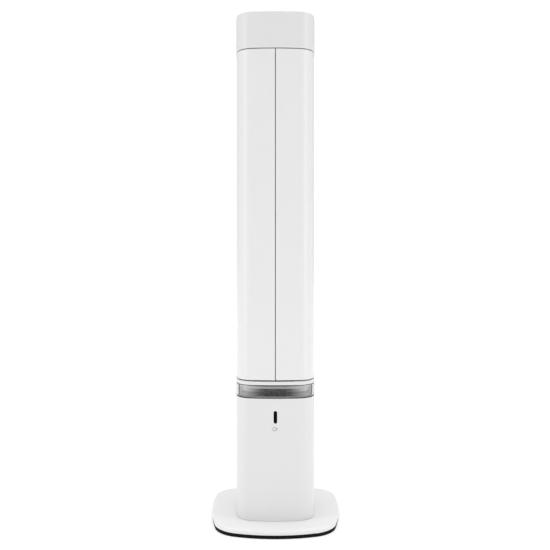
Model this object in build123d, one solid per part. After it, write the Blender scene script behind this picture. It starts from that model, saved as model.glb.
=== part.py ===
"""Tower air purifier on a turning base: casings, doors, fan, filter, drive and electronics.

Front is -Y, +Z is up, and the origin is on the floor under the middle of the base.
All sizes are in millimetres.
"""
from build123d import *
import os
from math import acos, cos, pi, radians, sin, sqrt, tan

# ---- outer form -------------------------------------------------------------------
TOWER_HALF = 80.0          # half width and half depth of the tower
SIDE_ARC_R = 391.0         # radius of its four bowed sides
CORNER_R = 37.0            # radius of its four corners
BASE_HALF = 131.0          # half width and half depth of the base
WALL = 2.6                 # wall of the moulded casings
DOOR_INSET = 1.2           # doors and rear shell stand back from the casings by this much

# ---- heights ----------------------------------------------------------------------
FOOT_TOP = 6.5
PLATE_TOP = 15.5
HOUSING_LOW = 16.5
BAND_LOW = 256.5
RIM_LOW = 281.7
DECK_TOP = 288.8
DOOR_LOW = 291.2
DOOR_TOP = 941.5
CAP_LOW = 943.0
CAP_TOP = 1015.0

# ---- base and oscillation drive ---------------------------------------------------
PLATE_SKIN = 4.0
POCKET_INSET = 8.0
FOOT_INSET = 0.8
FOOT_WIDTH = 9.5
PIVOT_R = 15.0
PIVOT_BORE_R = 11.0
RUN = 0.05                 # radial running clearance
GAP = 0.3                  # clearance between moving faces that are not a fit
FLOOR_LOW = 21.8
FLOOR_TOP = 25.8
BALL_R = 3.0
BALL_CIRCLE_R = 50.0
BALL_COUNT = 12
GEAR_MODULE = 1.0
GEAR_TEETH = 60
PINION_TEETH = 12
GEAR_LOW = 30.2
GEAR_TOP = 37.8
BACKLASH = 0.3
PINION_Y = (GEAR_TEETH + PINION_TEETH) * GEAR_MODULE / 2 + 0.25
PRESSURE_ANGLE = radians(25)
ADDENDUM = 0.8
DEDENDUM = 1.15

# ---- screws -----------------------------------------------------------------------
SCREW_R = 1.5
SCREW_HOLE_R = 1.6
HEAD_R = 3.0
HEAD_HEIGHT = 1.6

# ---- doors ------------------------------------------------------------------------
BARREL_R = 4.0
HINGE_X = TOWER_HALF - DOOR_INSET - BARREL_R
SEAM = 1.5                 # width of the slit between the doors
PIN_R = 1.5
REAR_EDGE_Y = 4.8          # front edge of the rear shell, just behind the barrels

# ---- fan --------------------------------------------------------------------------
WHEEL_Y = -8.0
WHEEL_R = 40.0
WHEEL_LOW = 300.0
WHEEL_TOP = 925.0
BLADES = 24
BAYS = 6
SHAFT_R = 4.0

# ---- intake cover and filter ------------------------------------------------------
COVER_HALF = 57.5
COVER_LOW = 310.5
COVER_TOP = 919.5
FILTER_HALF = 55.0
FILTER_FRONT = 38.0
FILTER_BACK = 67.0
FILTER_LOW = 315.0
FILTER_TOP = 915.0
FRAME_BACK_Y = 37.0

# ---- controls ---------------------------------------------------------------------
PANEL_Y = -20.0
PANEL_SIZE = (104.0, 46.0)
PANEL_DEEP = 2.0
KEY_R = 5.5
KEY_XS = (-28.0, 0.0, 28.0)
KEY_Y = -30.0
KEY_NAMES = ("power_key", "speed_key", "swing_key")
BOARD = 1.6                # thickness of every circuit board


# ---- shared shapes ----------------------------------------------------------------
def block(x, y, z):
    """Box between the low and high limits given for each axis."""
    middle = Pos((x[0] + x[1]) / 2, (y[0] + y[1]) / 2, (z[0] + z[1]) / 2)
    return middle * Box(x[1] - x[0], y[1] - y[0], z[1] - z[0])


def rod(x, y, z, radius):
    """Upright cylinder between two heights."""
    return Pos(x, y, (z[0] + z[1]) / 2) * Cylinder(radius, z[1] - z[0])


def prism(outline, z):
    """Upright prism of an outline between two heights."""
    return extrude(Pos(0, 0, z[0]) * outline, z[1] - z[0])


def tower_outline(inset=0.0):
    """Four shallow arcs with round corners, moved inward by inset."""
    side_r = SIDE_ARC_R - inset
    offset_to_centre = SIDE_ARC_R - TOWER_HALF
    corner = (sqrt(2 * side_r**2 - offset_to_centre**2) - offset_to_centre) / 2
    half = TOWER_HALF - inset
    corners = [(-corner, -corner), (corner, -corner), (corner, corner), (-corner, corner)]
    middles = [(0, -half), (half, 0), (0, half), (-half, 0)]
    with BuildSketch() as sketch:
        with BuildLine():
            for i in range(4):
                ThreePointArc(corners[i], middles[i], corners[(i + 1) % 4])
        make_face()
        fillet(sketch.vertices(), CORNER_R - inset)
    return sketch.sketch


def tower_ring(outer_inset, inner_inset, z):
    """Sleeve that follows the tower's outline."""
    return prism(tower_outline(outer_inset) - tower_outline(inner_inset), z)


def base_outline(inset=0.0):
    """Base seen from above: a bowed front with large corners and a flatter back."""
    front_corner = (111.0, -107.0)
    widest_y = 35.0
    back_y = 124.0
    rise = widest_y - front_corner[1]
    side_sag = BASE_HALF - front_corner[0]
    side_r = (rise**2 + side_sag**2) / (2 * side_sag)
    back_x = BASE_HALF - side_r + sqrt(side_r**2 - (back_y - widest_y) ** 2)
    with BuildSketch() as sketch:
        with BuildLine():
            left_front = (-front_corner[0], front_corner[1])
            ThreePointArc(left_front, (0, -BASE_HALF), front_corner)
            ThreePointArc(front_corner, (BASE_HALF, widest_y), (back_x, back_y))
            ThreePointArc((back_x, back_y), (0, BASE_HALF), (-back_x, back_y))
            ThreePointArc((-back_x, back_y), (-BASE_HALF, widest_y), left_front)
        make_face()
        fillet(sketch.vertices().group_by(Axis.Y)[0], 60)
        fillet(sketch.vertices().sort_by(Axis.Y)[-2:], 50)
        if inset:
            offset(amount=-inset, mode=Mode.REPLACE)
    return sketch.sketch


def screws(places, head_z, tip_z):
    """Screws as separate solids; the head sits on height head_z, on the side away from the tip."""
    step = HEAD_HEIGHT if head_z > tip_z else -HEAD_HEIGHT
    head = sorted((head_z, head_z + step))
    shank = sorted((head_z, tip_z))
    return sum((rod(x, y, head, HEAD_R) + rod(x, y, shank, SCREW_R) for x, y in places), Part())


def drill(part, places, z, radius=SCREW_HOLE_R):
    """Upright holes at the given places."""
    for x, y in places:
        part -= rod(x, y, z, radius)
    return part


def involute_angle(radius, base_r):
    """Polar angle of an involute at a radius, counted from where it leaves its base circle."""
    if radius <= base_r:
        return 0.0
    pressure = acos(base_r / radius)
    return tan(pressure) - pressure


def gear_outline(teeth, start_angle):
    """Involute spur gear whose first tooth points at start_angle, in degrees."""
    pitch_r = teeth * GEAR_MODULE / 2
    base_r = pitch_r * cos(PRESSURE_ANGLE)
    root_r = pitch_r - DEDENDUM * GEAR_MODULE
    tip_r = pitch_r + ADDENDUM * GEAR_MODULE
    half_at_base = pi / (2 * teeth) - BACKLASH / (2 * pitch_r) + involute_angle(pitch_r, base_r)
    flank_low = max(base_r, root_r)

    def flank(radius, side):
        angle = side * (half_at_base - involute_angle(radius, base_r))
        return (radius * cos(angle), radius * sin(angle))

    foot_r = root_r - 0.5
    middle_r = (flank_low + tip_r) / 2
    with BuildSketch() as tooth:
        with BuildLine():
            Line(flank(foot_r, -1), flank(flank_low, -1))
            ThreePointArc(flank(flank_low, -1), flank(middle_r, -1), flank(tip_r, -1))
            ThreePointArc(flank(tip_r, -1), (tip_r, 0), flank(tip_r, 1))
            ThreePointArc(flank(tip_r, 1), flank(middle_r, 1), flank(flank_low, 1))
            Line(flank(flank_low, 1), flank(foot_r, 1))
            Line(flank(foot_r, 1), flank(foot_r, -1))
        make_face()
    with BuildSketch() as gear:
        Circle(root_r)
        with PolarLocations(0, teeth, start_angle=start_angle):
            add(tooth.sketch)
    return gear.sketch


# ---- base -------------------------------------------------------------------------
BASE_SCREWS = [(x, y) for x in (-96, 96) for y in (-78, 0, 92)]
PIVOT_SCREWS = [(26, 0), (0, 26), (-26, 0), (0, -26)]


def base_plate():
    plate = prism(base_outline(), (FOOT_TOP, PLATE_TOP))
    plate = fillet(plate.edges().group_by(Axis.Z)[-1], 4.0)
    plate = fillet(plate.edges().group_by(Axis.Z)[0], 2.5)
    plate -= prism(base_outline(POCKET_INSET), (FOOT_TOP, PLATE_TOP - PLATE_SKIN))
    for x, y in BASE_SCREWS:
        plate += rod(x, y, (FOOT_TOP, PLATE_TOP - PLATE_SKIN), 5.0)
    plate = drill(plate, BASE_SCREWS, (FOOT_TOP, PLATE_TOP - 3.0))
    plate = drill(plate, PIVOT_SCREWS, (0, PLATE_TOP))
    return plate - rod(0, 0, (0, PLATE_TOP), PIVOT_BORE_R)


def base_screws():
    """Screws of the bottom cover, driven from below, and of the pivot tube's flange."""
    return screws(BASE_SCREWS, 3.9 + HEAD_HEIGHT, 11.8) + screws(PIVOT_SCREWS, PLATE_TOP + 3.0, PLATE_TOP - 3.5)


def foot_ring():
    ring = base_outline(FOOT_INSET) - base_outline(FOOT_INSET + FOOT_WIDTH)
    foot = prism(ring, (0, FOOT_TOP))
    return fillet(foot.edges().group_by(Axis.Z)[0], 0.5)


def base_weight():
    weight = prism(base_outline(POCKET_INSET + 1), (7.0, PLATE_TOP - PLATE_SKIN))
    weight = drill(weight, BASE_SCREWS, (0, PLATE_TOP), 5.4)
    return weight - rod(0, 0, (0, PLATE_TOP), 34.0)


def base_cover():
    cover = prism(base_outline(FOOT_INSET + FOOT_WIDTH + 0.3), (3.9, FOOT_TOP))
    cover = drill(cover, BASE_SCREWS, (0, FOOT_TOP))
    cover = drill(cover, BASE_SCREWS, (0, 3.9 + HEAD_HEIGHT), HEAD_R + 0.2)
    return cover - rod(0, 0, (0, FOOT_TOP), PIVOT_BORE_R)


def pivot_tube():
    tube = rod(0, 0, (PLATE_TOP, PLATE_TOP + 3.0), 34.0) + rod(0, 0, (PLATE_TOP, 44.0), PIVOT_R)
    tube -= rod(0, 0, (PLATE_TOP, 44.0), PIVOT_BORE_R)
    tube -= rod(0, 0, (37.9, 39.3), PIVOT_R) - rod(0, 0, (37.9, 39.3), 13.6)
    return drill(tube, PIVOT_SCREWS, (0, PLATE_TOP + 3.0))


def retaining_clip():
    clip = rod(0, 0, (38.0, 39.2), 19.0) - rod(0, 0, (38.0, 39.2), 13.7)
    return clip - block((0, 20), (-5, 5), (38, 39.2))


def ball_cage():
    ring = rod(0, 0, (17.0, 20.0), BALL_CIRCLE_R + 5) - rod(0, 0, (17.0, 20.0), BALL_CIRCLE_R - 5)
    for place in PolarLocations(BALL_CIRCLE_R, BALL_COUNT):
        ring -= place * Pos(0, 0, 18.5) * Cylinder(BALL_R + 0.15, 4)
    return ring


def thrust_balls():
    ball = Pos(0, 0, PLATE_TOP + BALL_R) * Sphere(BALL_R)
    return sum((place * ball for place in PolarLocations(BALL_CIRCLE_R, BALL_COUNT)), Part())


def fixed_gear():
    half_tooth = 180 / GEAR_TEETH
    gear = prism(gear_outline(GEAR_TEETH, 90 + half_tooth), (GEAR_LOW, GEAR_TOP))
    return gear - rod(0, 0, (GEAR_LOW, GEAR_TOP), PIVOT_R + RUN)


def oscillation_pinion():
    gear = prism(Pos(0, PINION_Y) * gear_outline(PINION_TEETH, -90), (GEAR_LOW + 0.4, GEAR_TOP - 0.4))
    return gear + rod(0, PINION_Y, (GEAR_LOW + 0.4, 50), 2.5)


# ---- lower casing and what it holds ------------------------------------------------
MOTOR_POSTS = [(-22, PINION_Y + 8), (22, PINION_Y + 8)]
PILL_Z = 219.0
PILL_SIZE = (7.0, 24.8)
INLET_Z = 80.0
BRACKET_Y = -42.0


def lower_housing():
    housing = tower_ring(0, WALL, (HOUSING_LOW, BAND_LOW))
    housing = fillet(housing.edges().group_by(Axis.Z)[0], 0.6)
    pill = extrude(Plane.XZ * Pos(0, PILL_Z) * SlotOverall(PILL_SIZE[1], PILL_SIZE[0], rotation=90), 90)
    socket = block((-12.2, 12.2), (60, 90), (INLET_Z - 7.2, INLET_Z + 7.2))
    return housing - pill - socket


def lower_floor():
    floor = prism(tower_outline(WALL + 0.1), (FLOOR_LOW, FLOOR_TOP))
    floor -= rod(0, 0, (FLOOR_LOW, FLOOR_TOP), 18.1)
    return drill(floor, MOTOR_POSTS, (FLOOR_LOW, FLOOR_TOP))


def pivot_bush():
    bush = rod(0, 0, (FLOOR_LOW, 29.8), 18.0) + rod(0, 0, (FLOOR_TOP, FLOOR_TOP + 2), 21.0)
    return bush - rod(0, 0, (FLOOR_LOW, 29.8), PIVOT_R + RUN)


def motor_bracket():
    bracket = block((-28, 28), (22, 62), (38.6, 41.0))
    for x, y in MOTOR_POSTS:
        bracket += rod(x, y, (FLOOR_TOP, 38.6), 4.0)
    bracket = drill(bracket, MOTOR_POSTS, (0, 41))
    return bracket - rod(0, PINION_Y, (38.6, 41.0), 3.5)


def oscillation_motor():
    motor = rod(0, PINION_Y, (41.0, 60.0), 17.0) + rod(0, PINION_Y, (60.0, 61.5), 6.0)
    motor += block((-7, 7), (PINION_Y + 14, PINION_Y + 21), (46, 56))
    return motor - rod(0, PINION_Y, (41.0, 51.0), 2.5 + RUN)


def electronics_bracket():
    plate = block((-58, 58), (BRACKET_Y, BRACKET_Y + 2), (FLOOR_TOP, 232))
    plate += block((-58, 58), (BRACKET_Y - 12, BRACKET_Y), (FLOOR_TOP, FLOOR_TOP + 2))
    for z in (70, 150):
        plate -= block((-46, -30), (BRACKET_Y, BRACKET_Y + 2), (z, z + 40))
    return plate


def control_board():
    front = BRACKET_Y - 6
    board = block((-25, 52), (front, front + BOARD), (60, 210))
    for x in (-20, 47):
        for z in (66, 204):
            board += Pos(x, (front + BOARD + BRACKET_Y) / 2, z) * Rotation(90, 0, 0) * Cylinder(
                2.5, BRACKET_Y - front - BOARD
            )
    board += block((0, 24), (front - 3, front), (120, 144))
    board += block((-20, -8), (front - 9, front), (80, 110))
    board += block((34, 48), (front - 10, front), (160, 190))
    return board


def power_supply():
    back = BRACKET_Y + 6
    board = block((-20, 52), (back, back + BOARD), (60, 180))
    for x in (-15, 47):
        for z in (66, 174):
            board += Pos(x, (BRACKET_Y + 2 + back) / 2, z) * Rotation(90, 0, 0) * Cylinder(
                2.5, back - BRACKET_Y - 2
            )
    top = back + BOARD
    board += block((-12, 22), (top, top + 26), (110, 144))
    board += block((-14, 40), (top, top + 3), (156, 172))
    for fin in range(5):
        board += block((-14, 40), (top + 3, top + 18), (156 + 3.4 * fin, 157.4 + 3.4 * fin))
    for x in (34, 46):
        board += Pos(x, top + 11, 86) * Rotation(90, 0, 0) * Cylinder(5.5, 22)
    return board


def sensor_window():
    lens = extrude(Plane.XZ * Pos(0, PILL_Z) * SlotOverall(PILL_SIZE[1] - 0.4, PILL_SIZE[0] - 0.4, rotation=90), 79.3)
    lens -= block((-10, 10), (-77.2, 10), (PILL_Z - 20, PILL_Z + 20))
    return lens + block((-7, 7), (-77.2, -75.8), (PILL_Z - 16, PILL_Z + 16))


def sensor_board():
    board = block((-13, 13), (-71, -71 + BOARD), (PILL_Z - 34, PILL_Z + 22))
    board += block((-8, 8), (-75.8, -71), (PILL_Z - 10, PILL_Z + 10))
    return board


def power_inlet():
    shell = block((-12, 12), (58, 80), (INLET_Z - 7, INLET_Z + 7))
    shell += block((-15, 15), (80, 81.6), (INLET_Z - 10, INLET_Z + 10))
    hollow = block((-9.5, 9.5), (64, 81.6), (INLET_Z - 4.6, INLET_Z + 4.6))
    shell -= fillet(hollow.edges().filter_by(Axis.Y), 4.4)
    for x in (-4.3, 4.3):
        shell += Pos(x, 70, INLET_Z) * Rotation(90, 0, 0) * Cylinder(1.2, 14)
        shell += block((x - 1.5, x + 1.5), (50, 58), (INLET_Z - 0.4, INLET_Z + 0.4))
    return shell


# ---- lit band ---------------------------------------------------------------------
CORE_INSET = 12.0
CONE_INSET = 4.3
CONE_LOW = 272.9
CONE_TOP = 278.6
SKIRT_INSET = 4.8
SKIRT_FOOT = 1.0
SKIRT_HEIGHT = 8.0
FILM_HALF = 21.5
FILM_TOP = 274.0


def light_ring():
    return tower_ring(0, 3.0, (BAND_LOW, RIM_LOW))


def light_tray():
    tray = prism(tower_outline(3.2), (BAND_LOW, BAND_LOW + 2.5))
    return tray - rod(0, 20, (BAND_LOW, BAND_LOW + 2.5), 20)


def light_core():
    """Dark inner wall with a sloping skirt, and a flange that closes the band under the rim."""
    low = BAND_LOW + 2.5
    core = tower_ring(CORE_INSET, CORE_INSET + 2.5, (low, RIM_LOW))
    core += tower_ring(CONE_INSET, CORE_INSET + 1, (CONE_TOP, RIM_LOW))
    core += tower_ring(SKIRT_INSET, CORE_INSET + 1, (low, low + SKIRT_FOOT))
    wide = Pos(0, 0, low + SKIRT_FOOT) * tower_outline(SKIRT_INSET)
    narrow = Pos(0, 0, low + SKIRT_HEIGHT) * tower_outline(CORE_INSET)
    slope = loft(Sketch() + [wide.face(), narrow.face()])
    return core + (slope - prism(tower_outline(CORE_INSET + 1), (low, low + SKIRT_HEIGHT)))


def light_reflector():
    """Sloping grey ring under the flange that throws the light outward."""
    wide = Pos(0, 0, CONE_TOP) * tower_outline(CONE_INSET)
    narrow = Pos(0, 0, CONE_LOW) * tower_outline(CORE_INSET - 0.6)
    cone = loft(Sketch() + [narrow.face(), wide.face()])
    return cone - prism(tower_outline(CORE_INSET - 0.1), (CONE_LOW, CONE_TOP))


def indicator_film():
    """Smoked window just behind the front of the clear band."""
    return block((-FILM_HALF, FILM_HALF), (-76.3, -75.5), (BAND_LOW + 2.5, FILM_TOP))


def led_board():
    return tower_ring(20, 30, (BAND_LOW + 2.5, BAND_LOW + 2.5 + BOARD))


# ---- decks ------------------------------------------------------------------------
FRAME_SCREWS = [(x, y) for x in (-59.5, 59.5) for y in (-40, 18)]
UPPER_DECK_TOP = 948.0
HINGES = [(-HINGE_X, 0), (HINGE_X, 0)]


def rim_ring():
    ring = tower_ring(0, 10, (RIM_LOW, DECK_TOP))
    return drill(ring, HINGES, (283.5, DECK_TOP), 3.1)


def lower_deck():
    deck = prism(tower_outline(10.1), (RIM_LOW, DECK_TOP))
    deck -= rod(0, WHEEL_Y, (RIM_LOW, DECK_TOP), 11.1)
    deck = drill(deck, FRAME_SCREWS, (RIM_LOW, DECK_TOP))
    return drill(deck, FRAME_SCREWS, (RIM_LOW, RIM_LOW + HEAD_HEIGHT), HEAD_R + 0.2)


def lower_bearing():
    bearing = rod(0, WHEEL_Y, (RIM_LOW, DECK_TOP), 11.0)
    return bearing - rod(0, WHEEL_Y, (RIM_LOW, DECK_TOP), SHAFT_R + RUN)


def hinge_bushes():
    bushes = Part()
    for x, y in HINGES:
        bushes += rod(x, y, (283.5, DECK_TOP), 3.0) - rod(x, y, (284.5, DECK_TOP), PIN_R + RUN)
    return bushes


def upper_deck():
    deck = prism(tower_outline(WALL + 0.1), (CAP_LOW, UPPER_DECK_TOP))
    deck -= rod(0, WHEEL_Y, (CAP_LOW, UPPER_DECK_TOP), 8.0)
    deck = drill(deck, FRAME_SCREWS, (CAP_LOW, UPPER_DECK_TOP))
    return drill(deck, HINGES, (CAP_LOW, UPPER_DECK_TOP), PIN_R + RUN)


def tower_screws():
    """Screws of the motor bracket, then of the side frames at the lower and upper decks."""
    group = screws(MOTOR_POSTS, 41.0, FLOOR_LOW + 0.5)
    group += screws(FRAME_SCREWS, RIM_LOW + HEAD_HEIGHT, 298)
    return group + screws(FRAME_SCREWS, UPPER_DECK_TOP, 934)


# ---- upper casing and air path -----------------------------------------------------
def rear_shell():
    shell = tower_ring(DOOR_INSET, DOOR_INSET + WALL, (DECK_TOP, CAP_LOW))
    shell &= block((-90, 90), (REAR_EDGE_Y, 90), (DECK_TOP, CAP_LOW))
    opening = block((-COVER_HALF - 0.5, COVER_HALF + 0.5), (45, 90), (COVER_LOW - 0.5, COVER_TOP + 0.5))
    return shell - opening


def side_frame(side):
    frame = block((63.5, 66), (-60, 34), (DECK_TOP, CAP_LOW))
    frame += block((54, 63.5), (-60, -58), (DECK_TOP, CAP_LOW))
    for x, y in FRAME_SCREWS[2:]:
        frame += rod(x, y, (DECK_TOP, 300), 4.3) + rod(x, y, (932, CAP_LOW), 4.3)
        frame -= rod(x, y, (DECK_TOP, 299), SCREW_HOLE_R) + rod(x, y, (933, CAP_LOW), SCREW_HOLE_R)
    return frame if side > 0 else mirror(frame, Plane.YZ)


def rear_frame():
    frame = prism(tower_outline(DOOR_INSET + WALL + 0.1), (DECK_TOP, CAP_LOW))
    frame &= block((-80, 80), (34, FRAME_BACK_Y), (DECK_TOP, CAP_LOW))
    frame -= block((-50, 50), (34, FRAME_BACK_Y), (326, 904))
    for i in range(1, 12):
        z = 326 + i * (904 - 326) / 12
        frame += block((-50, 50), (34, FRAME_BACK_Y), (z - 1, z + 1))
    for x in (-17, 17):
        frame += block((x - 1, x + 1), (34, FRAME_BACK_Y), (326, 904))
    return frame


def scroll_wall():
    with BuildSketch() as section:
        with BuildLine() as path:
            Line((36, 33.9), (36, 24))
            ThreePointArc((36, 24), (53, -14), (50, -57.9))
        trace(path.line, 2.0)
    wall = prism(section.sketch, (DECK_TOP, CAP_LOW))
    return wall & block((0, 63), (-57.9, 33.9), (DECK_TOP, CAP_LOW))


def tongue_wall():
    with BuildSketch() as section:
        with BuildLine() as path:
            ThreePointArc((-40, 33.9), (-46, 12), (-45, -14))
            Line((-45, -14), (-50, -57.9))
        trace(path.line, 2.0)
    wall = prism(section.sketch, (DECK_TOP, CAP_LOW))
    return wall & block((-63, 0), (-57.9, 33.9), (DECK_TOP, CAP_LOW))


def outlet_grille():
    low, high = DECK_TOP + 0.2, CAP_LOW - 0.2
    grille = block((-60, 60), (-66, -60), (low, high))
    grille -= block((-54, 54), (-66, -60), (low + 10, high - 10))
    for i in range(1, 16):
        z = low + 10 + i * (high - low - 20) / 16
        grille += block((-54, 54), (-63, -60), (z - 0.8, z + 0.8))
    for i in range(-5, 6):
        grille += block((9 * i - 0.7, 9 * i + 0.7), (-66, -60.5), (low + 10, high - 10))
    return grille


def crossflow_wheel():
    with BuildSketch() as section:
        with BuildLine() as blade:
            ThreePointArc((-3.6, 1.2), (0, -0.8), (4.2, 0.6))
        with BuildSketch(mode=Mode.PRIVATE) as blade_face:
            trace(blade.line, 1.1)
        with PolarLocations(WHEEL_R - 4.4, BLADES):
            add(blade_face.sketch)
    wheel = prism(section.sketch, (WHEEL_LOW, WHEEL_TOP))
    pitch = (WHEEL_TOP - WHEEL_LOW - 2) / BAYS
    for i in range(BAYS + 1):
        z = WHEEL_LOW + i * pitch
        disc = rod(0, 0, (z, z + 2), WHEEL_R)
        inner = SHAFT_R + RUN if i in (0, BAYS) else WHEEL_R - 8.5
        wheel += disc - rod(0, 0, (z, z + 2), inner)
    return Pos(0, WHEEL_Y, 0) * wheel


def wheel_shaft():
    shaft = rod(0, WHEEL_Y, (RIM_LOW + 1, 972), SHAFT_R)
    for z in (WHEEL_LOW - 7, WHEEL_TOP):
        shaft += rod(0, WHEEL_Y, (z, z + 7), 9.0)
    return shaft


# ---- doors ------------------------------------------------------------------------
def door_shell():
    """Right-hand door: the front and side wall from the slit to the hinge barrel."""
    z = (DOOR_LOW, DOOR_TOP)
    shell = tower_ring(DOOR_INSET, DOOR_INSET + WALL, z)
    shell &= block((SEAM / 2, 90), (-90, 0), z)
    barrel = rod(HINGE_X, 0, z, BARREL_R)
    for pin_z in ((DOOR_LOW, DOOR_LOW + 14), (DOOR_TOP - 14, DOOR_TOP)):
        barrel -= rod(HINGE_X, 0, pin_z, PIN_R)
    for pin_z in ((DOOR_LOW, DOOR_LOW + 14), (DOOR_TOP - 14, DOOR_TOP)):
        shell -= rod(HINGE_X, 0, pin_z, PIN_R)
    lip = block((SEAM / 2, SEAM / 2 + 2), (-TOWER_HALF + DOOR_INSET + 1, -72), z)
    return shell + barrel + lip


def door(side):
    return door_shell() if side > 0 else mirror(door_shell(), Plane.YZ)


def door_pins(side):
    pins = rod(side * HINGE_X, 0, (285, DOOR_LOW + 14), PIN_R)
    return pins + rod(side * HINGE_X, 0, (DOOR_TOP - 14, 957), PIN_R)


def door_motor(side):
    gearbox = block((54, 77), (-8, 8), (UPPER_DECK_TOP, 960))
    gearbox -= rod(HINGE_X, 0, (UPPER_DECK_TOP, 958), PIN_R + RUN)
    motor = gearbox + rod(63, 0, (960, 976), 8.5)
    return motor if side > 0 else mirror(motor, Plane.YZ)


# ---- intake cover and filter --------------------------------------------------------
def rear_cover():
    z = (COVER_LOW, COVER_TOP)
    panel = tower_ring(DOOR_INSET, DOOR_INSET + WALL, z)
    panel &= block((-COVER_HALF, COVER_HALF), (45, 90), z)
    rows = 50
    pitch = (COVER_TOP - COVER_LOW - 40) / (rows - 1)
    with BuildSketch(Plane.XZ) as slots:
        with Locations((0, (COVER_LOW + COVER_TOP) / 2)):
            with GridLocations(33, pitch, 3, rows):
                SlotOverall(27, 5)
    return panel - extrude(slots.sketch, -90)


def filter_frame():
    frame = block((-FILTER_HALF, FILTER_HALF), (FILTER_FRONT, FILTER_BACK), (FILTER_LOW, FILTER_TOP))
    return frame - block((-50, 50), (FILTER_FRONT, FILTER_BACK), (FILTER_LOW + 6, FILTER_TOP - 6))


def filter_media():
    """Pleated pack: a zigzag of sheet folded along X."""
    pleats = 60
    low = FILTER_LOW + 6.1
    pitch = (FILTER_TOP - FILTER_LOW - 12.2) / pleats
    front, back, sheet = FILTER_FRONT + 6, FILTER_BACK - 5, 1.2
    points = [(back, low)]
    for i in range(pleats):
        points += [(front, low + (i + 0.5) * pitch), (back, low + (i + 1) * pitch)]
    shifted = [(y + sheet * 4, z) for y, z in reversed(points)]
    pack = extrude(Plane.YZ * make_face(Polyline(points + shifted, close=True)), 49.9, both=True)
    return pack & block((-50, 50), (front, FILTER_BACK - 1), (low, low + pleats * pitch))


def pre_filter():
    z_low, z_high = FILTER_LOW + 2, FILTER_TOP - 2
    frame = block((-FILTER_HALF, FILTER_HALF), (FILTER_BACK, FILTER_BACK + 1.5), (z_low, z_high))
    frame -= block((-51, 51), (FILTER_BACK, FILTER_BACK + 1.5), (z_low + 4, z_high - 4))
    for i in range(1, 20):
        z = z_low + 4 + i * (z_high - z_low - 8) / 20
        frame += block((-51, 51), (FILTER_BACK, FILTER_BACK + 1), (z - 0.5, z + 0.5))
    for i in range(-3, 4):
        frame += block((13 * i - 0.5, 13 * i + 0.5), (FILTER_BACK, FILTER_BACK + 1), (z_low, z_high))
    return frame


# ---- cap and controls --------------------------------------------------------------
KEY_PLACES = [(x, KEY_Y) for x in KEY_XS]
CAP_SKIN = 3.6
KEY_LOW = 1003.0


def top_cap():
    cap = prism(tower_outline(), (CAP_LOW, CAP_TOP))
    cap = fillet(cap.edges().group_by(Axis.Z)[-1], 3.0)
    cap -= prism(tower_outline(WALL), (CAP_LOW, CAP_TOP - CAP_SKIN))
    pocket = Pos(0, PANEL_Y) * RectangleRounded(PANEL_SIZE[0] + 0.3, PANEL_SIZE[1] + 0.3, 8)
    cap -= prism(pocket, (CAP_TOP - PANEL_DEEP, CAP_TOP))
    return drill(cap, KEY_PLACES, (1000, CAP_TOP), KEY_R + GAP)


def control_panel():
    plate = Pos(0, PANEL_Y) * RectangleRounded(PANEL_SIZE[0], PANEL_SIZE[1], 8)
    panel = drill(prism(plate, (CAP_TOP - PANEL_DEEP, CAP_TOP)), KEY_PLACES, (1000, CAP_TOP), KEY_R + GAP)
    return panel - block((-24.1, 24.1), (-14.1, -3.9), (CAP_TOP - 1.2, CAP_TOP))


def display_window():
    return block((-24, 24), (-14, -4), (CAP_TOP - 1.2, CAP_TOP))


def key_board():
    board = block((-48, 48), (-40, 0), (1000, 1000 + BOARD))
    for x, y in KEY_PLACES:
        board += block((x - 3, x + 3), (y - 3, y + 3), (1000 + BOARD, 1002.1))
    for x in (-44, 44):
        board += rod(x, -8, (1000 + BOARD, CAP_TOP - CAP_SKIN), 3.0)
    return board


def key(x):
    stem = rod(x, KEY_Y, (KEY_LOW, CAP_TOP + 0.4), KEY_R)
    stem = fillet(stem.edges().group_by(Axis.Z)[-1], 0.6)
    return stem + rod(x, KEY_Y, (1009.6, CAP_TOP - CAP_SKIN - GAP), KEY_R + 1.5)


def fan_motor():
    can = rod(0, WHEEL_Y, (UPPER_DECK_TOP, 982), 36.0)
    can = fillet(can.edges().group_by(Axis.Z)[-1], 4.0)
    can += rod(0, WHEEL_Y, (982, 988), 12.0)
    return can - rod(0, WHEEL_Y, (UPPER_DECK_TOP, 974), SHAFT_R + RUN)


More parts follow.
